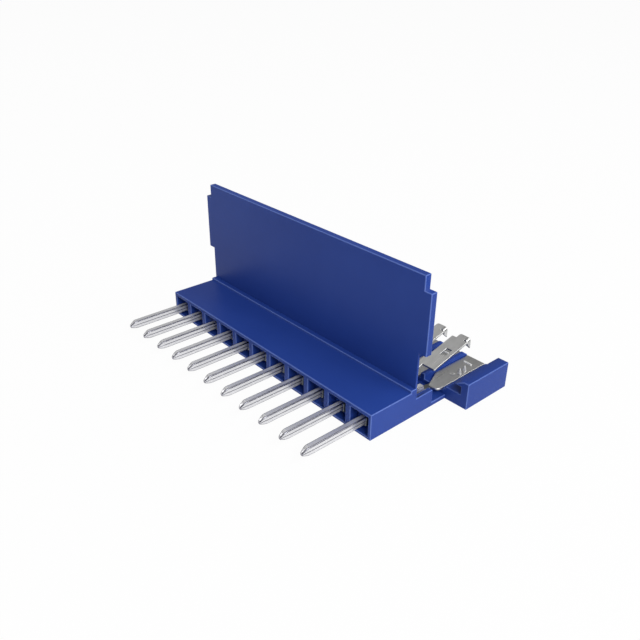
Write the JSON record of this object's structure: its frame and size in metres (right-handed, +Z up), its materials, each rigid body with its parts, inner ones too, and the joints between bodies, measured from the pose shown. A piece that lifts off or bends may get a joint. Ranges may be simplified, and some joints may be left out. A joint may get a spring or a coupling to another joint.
{
  "type": "flexible printed circuit connector",
  "caption": "Flexible printed circuit connector: a moulded base with an upright hinged cover, folded pins in front and open crimp contacts behind.",
  "frame": {"origin": "on the underside, in the middle of the row of contacts, below the front face of the open cover", "axes": "+X runs along the row of contacts, +Y from the pins towards the flex, +Z up"},
  "size_m": [0.0324, 0.0207, 0.0126],
  "materials": {
    "blue_moulding": "smooth satin moulded plastic",
    "plated_contact": "bright tin plating on formed sheet"
  },
  "bodies": {
    "base": {"housing": "blue_moulding", "hinge_web": "blue_moulding", "contact_01": "plated_contact", "contact_02": "plated_contact", "contact_03": "plated_contact", "contact_04": "plated_contact", "contact_05": "plated_contact", "contact_06": "plated_contact", "contact_07": "plated_contact", "contact_08": "plated_contact", "contact_09": "plated_contact", "contact_10": "plated_contact", "contact_11": "plated_contact"},
    "cover": {"cover_flap": "blue_moulding"}
  },
  "joints": [
    {"name": "cover_hinge", "type": "hinge", "parent": "base", "child": "cover", "pos_m": [0, 0.0001, 0.00265], "axis": [-1, 0, 0], "range_deg": [-15, 69], "stiffness_Nm_per_rad": 0.0002, "deforming": ["hinge_web"]}
  ]
}
